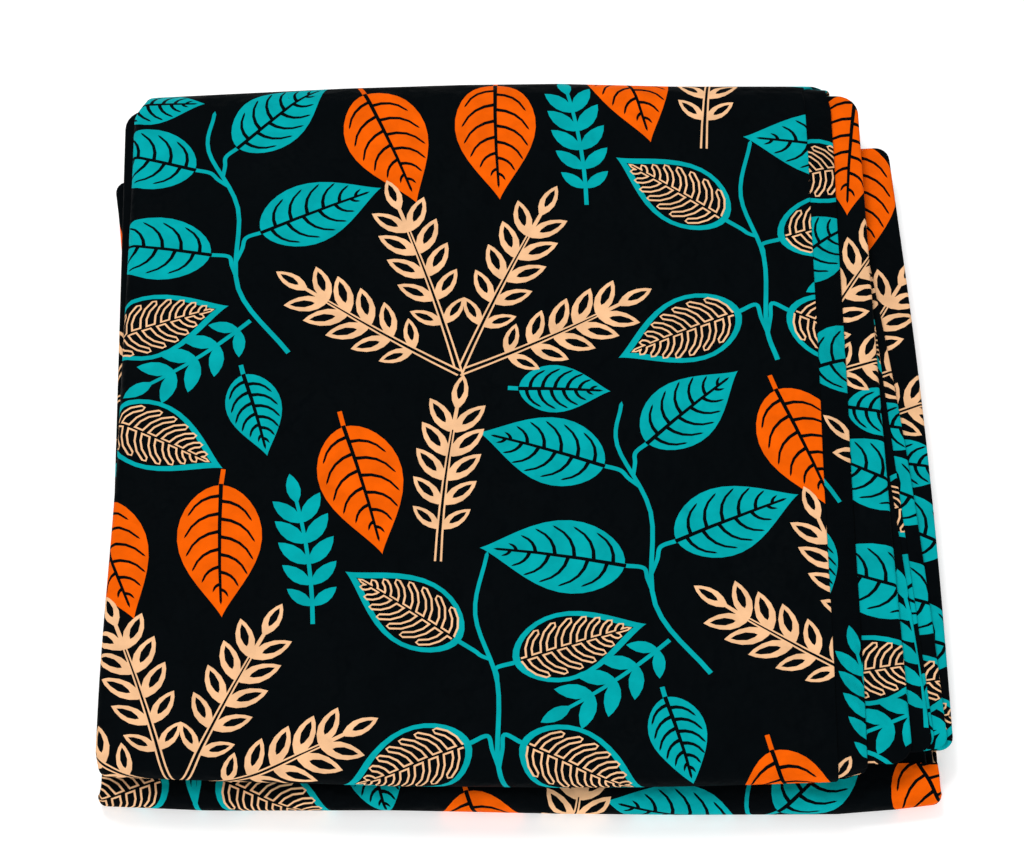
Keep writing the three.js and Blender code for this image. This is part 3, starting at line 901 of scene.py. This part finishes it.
def panel_surface(panel, low, high):
    """A panel's flat outline, the lines its rolled edges need, and the function that places it."""
    front_left, front_right, back_left, back_right = (
        complex(panel[f"{side}_{end}"], panel[f"{end}_{side}"])
        for end in ("front", "back") for side in ("left", "right"))
    half_width = (abs(front_right - front_left) + abs(back_right - back_left)) / 4
    half_length = (abs(back_left - front_left) + abs(back_right - front_right)) / 4
    roll = (high - low) / 2
    middle = (high + low) / 2
    radius = panel["corner"] - roll
    inner = complex(half_width - roll - radius, half_length - roll - radius)

    def place(where):
        x = np.clip(where.real, -inner.real, inner.real)
        y = np.clip(where.imag, -inner.imag, inner.imag)
        away = where - (x + 1j * y)
        distance = np.abs(away)
        way = away / np.maximum(distance, 1e-9)
        past = np.maximum(distance - radius, 0)
        turn = np.minimum(past / roll, math.pi)
        tuck = np.maximum(past - roll * math.pi, 0)
        plan = x + 1j * y + way * (np.minimum(distance, radius) + roll * np.sin(turn) - tuck)
        a = (plan.real / half_width + 1) / 2
        b = (plan.imag / half_length + 1) / 2
        spot = mix(mix(front_left, front_right, a), mix(back_left, back_right, a), b)
        curve = np.sin(np.clip(b, 0, 1) * math.pi)
        bow = panel["bow"] * curve * ease((a - 0.8) / 0.18)
        bow = bow + panel["hollow"] * curve ** HOLLOW_POWER * ease((0.2 - a) / 0.18)
        wave = WAVE * np.sin(plan.imag / 23 + middle) * ease((a - 0.85) / 0.1)
        wave = wave * np.maximum(np.cos(turn), 0)
        return np.stack([spot.real + bow, spot.imag, middle + roll * np.cos(turn) + wave], 1)

    def corner_arc(centre, reach, start):
        return [centre + cmath.rect(reach, math.radians(start + 90 * k / CORNER_STEPS))
                for k in range(CORNER_STEPS + 1)]

    def along_side(a, b):
        return rows_of(a, b, SIDE_STEP)[1:-1]

    def ring(past):
        """A line round the flat panel, so far past its flat part."""
        line = []
        for sx, sy, start in CORNERS:
            points = corner_arc(complex(sx * inner.real, sy * inner.imag), radius + past, start)
            if line:
                line += along_side(line[-1], points[0])
            line += points
        return line + along_side(line[-1], line[0])

    # The cloth turned under is a flap on each side, and narrows to its corners.
    turned_in = roll * math.pi + radius - 0.4
    flap = roll * math.pi + UNDER
    taper = flap - turned_in
    outline = []
    for sx, sy, start in CORNERS:
        centre = complex(sx * inner.real, sy * inner.imag)
        before = cmath.rect(1, math.radians(start))
        after = cmath.rect(1, math.radians(start + 90))
        outline.append(centre + before * (radius + flap) - after * taper)
        outline += corner_arc(centre, radius + turned_in, start)
        outline.append(centre + after * (radius + flap) - before * taper)
    edges = []
    for turn in ROLL_LINES:
        edges += chain(ring(roll * math.radians(turn)), closed=True)
    return outline, edges, place


def panel_sheet(name, turn, shift):
    """A panel's shell. Its hidden middle is left without print."""
    outline, edges, place = panel_surface(PANELS[name], *LEVELS[name])
    x0, y0, x1, y1 = box_of(np.array(outline))
    hidden = (x0 + BAND + UNDER, y0 + BAND + UNDER, x1 - BAND - UNDER, y1 - BAND - UNDER)
    shapes = [s for s in offset_print(outline, turn, shift)
              if not (s[2][0] > hidden[0] and s[2][1] > hidden[1]
                      and s[2][2] < hidden[2] and s[2][3] < hidden[3])]
    return outline, edges, PANEL_GRID, shapes, place


# -------------------- fold edges of the hidden layers

def nose_inset(nose, z):
    """How far the hidden layers end behind a nose's tip, at a height."""
    radius = nose[0] - CLOTH - GAP
    rise = min(max((z - nose[1]) / radius, -1), 1)
    return radius * (1 - math.sqrt(1 - rise * rise))


def spine_inset(z):
    """How far the hidden layers end before the spine's tip, at a height."""
    half = HEIGHT / 2 - CLOTH - GAP
    rise = min(abs(z - HEIGHT / 2) / half, 1)
    return (SPINE_DEPTH - CLOTH - GAP) * (1 - (1 - rise ** SPINE_SQUARENESS) ** (1 / SPINE_SQUARENESS))


FOLD_END = 0.6               # a fold edge's shell ends this far inside its solid
FOLD_STEP = 10               # between points along it


def fold_edge_sheet(name, index, side, tucks, shift):
    """One fold edge of the hidden layers, along one side: its cloth turns from on top to below."""
    panel = PANELS[name]
    low, high = LEVELS[name]
    height = (high - low) / len(FOLDS[name])
    middle = low + height * (index + 0.5)
    roll = height / 2
    stand_back = FOLDS[name][index][0 if side < 0 else 1]
    word = "left" if side < 0 else "right"
    front, back = panel["front_" + word], panel["back_" + word]
    back -= spine_inset(middle)
    if name == "spine_layers":
        front += SPINE_STEP if middle > LEVELS["upper_flap"][1] else 0
    else:
        front += nose_inset(LOWER_NOSE if name == "lower_layers" else UPPER_NOSE, middle)
    x_front, x_back = panel[word + "_front"], panel[word + "_back"]
    corner = panel["corner"]
    span = panel["back_" + word] - panel["front_" + word]

    def place(where):
        past, y = side * where.real, where.imag
        angle = np.clip(past / roll, 0, math.pi)
        tuck = np.minimum(past, 0) - np.maximum(past - roll * math.pi, 0)
        near = np.minimum(np.minimum(y - front, back - y), corner)
        rounding = corner - np.sqrt(np.maximum(corner ** 2 - (corner - near) ** 2, 0))
        # A long wave and a short one keep the edge from running straight.
        wave = 0.35 * np.sin(y / 31 + 2.1 * index + side) + 0.2 * np.sin(y / 13.7 + 4.2 * index)
        edge = mix(x_front, x_back, (y - panel["front_" + word]) / span)
        x = edge - side * (stand_back + rounding + roll - roll * np.sin(angle) - tuck + wave)
        return np.stack([x, y, middle + roll * np.cos(angle)], 1)

    rows = np.array(rows_of(front + FOLD_END, back - FOLD_END, FOLD_STEP))
    # The left side's flat cloth runs the other way, so that its outside faces out.
    over, under = tucks
    outline = [complex(-side * over, y) for y in rows]
    outline += [complex(side * (roll * math.pi + under), y) for y in rows[::-1]]
    edges = []
    for degrees in ROLL_LINES:
        edges += chain([complex(side * roll * math.radians(degrees), y) for y in rows])
    return outline, edges, FOLD_GRID, offset_print(outline, 0, shift), place


def fold_edges(name, tucks, shift):
    """All fold edges of some hidden layers, each with its own stretch of the print. The tucks are
    how far the cloth goes in over and under each."""
    return [fold_edge_sheet(name, index, side, tucks, shift + 61 * index * side + 143j * index)
            for index in range(len(FOLDS[name])) for side in (-1, 1)]


# -------------------- the cloth's material

WEAVE_SCALE = 0.88           # of the wave texture: 2.8 threads a millimetre


def cloth_material():
    """Smooth waxed cotton: its print, a fine plain weave, and slight changes of tone and shine. The broad
    changes of tone are partly painted shade of soft undulations.
    """
    material = bpy.data.materials.new("wax_print_cotton")
    material.use_nodes = True
    nodes, link = material.node_tree.nodes, material.node_tree.links.new
    shader = set_inputs(nodes["Principled BSDF"], {
        "Metallic": 0.0, "Specular IOR Level": 0.01, "Sheen Weight": 0.003, "Sheen Roughness": 0.45})

    def attribute(name, output):
        node = nodes.new("ShaderNodeAttribute")
        node.attribute_name = name
        return node.outputs[output]

    flat = attribute("flat", "Vector")

    def noise(scale, detail, low, high):
        texture = set_inputs(nodes.new("ShaderNodeTexNoise"), {"Scale": scale, "Detail": detail})
        link(flat, texture.inputs["Vector"])
        spread = set_inputs(nodes.new("ShaderNodeMapRange"), {
            "From Min": 0.3, "From Max": 0.7, "To Min": low, "To Max": high})
        link(texture.outputs["Fac"], spread.inputs["Value"])
        return spread.outputs["Result"]

    def threads(direction):
        wave = set_inputs(nodes.new("ShaderNodeTexWave"), {
            "Scale": WEAVE_SCALE, "Distortion": 0.6, "Detail Scale": 0.4})
        wave.bands_direction = direction
        link(flat, wave.inputs["Vector"])
        return wave.outputs["Fac"]

    def product(first, second):
        node = nodes.new("ShaderNodeMath")
        node.operation = "MULTIPLY"
        link(first, node.inputs[0])
        link(second, node.inputs[1])
        return node.outputs["Value"]

    def bump(height, strength, distance):
        node = set_inputs(nodes.new("ShaderNodeBump"), {"Strength": strength, "Distance": distance})
        link(height, node.inputs["Height"])
        return node

    # The print's value changes at random: a broad mottle of up to about 12 % and a fine one of a few per
    # cent. The broad mottle is partly dye and partly painted shade of soft undulations in the cloth.
    tone = nodes.new("ShaderNodeHueSaturation")
    link(attribute("print", "Color"), tone.inputs["Color"])
    link(product(noise(0.08, 3, 0.88, 1.08), noise(1.3, 2, 0.975, 1.02)), tone.inputs["Value"])
    link(tone.outputs["Color"], shader.inputs["Base Color"])
    link(noise(0.02, 2, 0.56, 0.72), shader.inputs["Roughness"])
    weave = bump(product(threads("X"), threads("Y")), 0.10, 0.00006)
    undulation = bump(noise(0.07, 2, 0, 1), 0.9, 0.0018)
    link(weave.outputs["Normal"], undulation.inputs["Normal"])
    link(undulation.outputs["Normal"], shader.inputs["Normal"])
    return material


CLOTH_MATERIAL = cloth_material()


# -------------------- the pieces

# Where the print lies on each stretch of cloth: its turn, and how far it is moved.
WRAP_PRINT = (10, -107 + 234j)
UNDER_PLY_PRINT = (10, -40 + 330j)
PANEL_PRINTS = {
    # from the top one down, as each rests on the next
    "first_panel": (1, 235 + 200j),
    "second_panel": (2, 15 + 132j),
    "third_panel": (1, 342 + 342j),
    "fourth_panel": (2, 45 + 400j),
    "middle_panel": (2, 230 + 184j),
}

FLAT_SIZES = {
    # what shows of each, cut out flat: width and length in millimetres
    "outer_wrap": (412, 905),
    "upper_layers": (120, 395),
    "first_panel": (440, 430),
    "second_panel": (440, 410),
    "third_panel": (440, 405),
    "fourth_panel": (445, 405),
    "middle_panel": (455, 385),
    "spine_layers": (165, 42),
    "lower_layers": (205, 395),
}


def add_piece(name, sheets):
    piece = shell_mesh("printed_" + name, sheets, CLOTH_MATERIAL)
    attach(piece, "root")
    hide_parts(name)
    width, length = FLAT_SIZES[name]


add_piece("outer_wrap", [upper_ply_sheet(), under_ply_sheet()])
add_piece("upper_layers", fold_edges("upper_layers", (12, 8), 12 + 40j))
for panel_name, below in zip(PANEL_PRINTS, [*PANEL_PRINTS, "lower_layers"][1:]):
    add_piece(panel_name, [panel_sheet(panel_name, *PANEL_PRINTS[panel_name])])
add_piece("spine_layers", fold_edges("spine_layers", (24, 10), 90 + 25j))
add_piece("lower_layers", fold_edges("lower_layers", (12, 12), 150 + 80j))


# -------------------- table and light

FLOOR_REACH = 4.0            # metres, as are the lights' places and sizes
FLOOR_WHITE = 0.90
FLOOR_GLOW = 0.36            # the table is a light table: it shines a little by itself
WORLD_LIGHT = 0.45
LIGHTS = {
    # place, size and power
    "key": ((-0.45, 1.0, 2.3), 1.0, 34),
    "fill": ((0.05, -1.9, 1.5), 1.2, 21),
}


def make_floor():
    mesh = bpy.data.meshes.new("table_top")
    corners = [(x * FLOOR_REACH, y * FLOOR_REACH, 0) for x, y in ((-1, -1), (1, -1), (1, 1), (-1, 1))]
    mesh.from_pydata(corners, [], [(0, 1, 2, 3)])
    material = bpy.data.materials.new("table_top")
    material.use_nodes = True
    set_inputs(material.node_tree.nodes["Principled BSDF"], {
        "Base Color": (FLOOR_WHITE, FLOOR_WHITE, FLOOR_WHITE, 1), "Roughness": 0.9,
        "Specular IOR Level": 0.1, "Emission Color": (1, 1, 1, 1), "Emission Strength": FLOOR_GLOW})
    mesh.materials.append(material)
    floor = bpy.data.objects.new("table_top", mesh)
    bpy.context.scene.collection.objects.link(floor)


def make_light(name, place, size, power):
    data = bpy.data.lights.new(name, "AREA")
    data.shape = "DISK"
    data.size = size
    data.energy = power
    light = bpy.data.objects.new(name, data)
    light.location = Vector(place)
    light.rotation_euler = (AIM - light.location).to_track_quat("-Z", "Y").to_euler()
    bpy.context.scene.collection.objects.link(light)


def make_world():
    world = bpy.data.worlds.new("studio")
    world.use_nodes = True
    set_inputs(world.node_tree.nodes["Background"], {"Color": (1, 1, 1, 1), "Strength": WORLD_LIGHT})
    bpy.context.scene.world = world


make_floor()
for light_name, light_values in LIGHTS.items():
    make_light(light_name, *light_values)
make_world()
bpy.context.scene.view_settings.view_transform = "Standard"

bpy.context.view_layer.update()
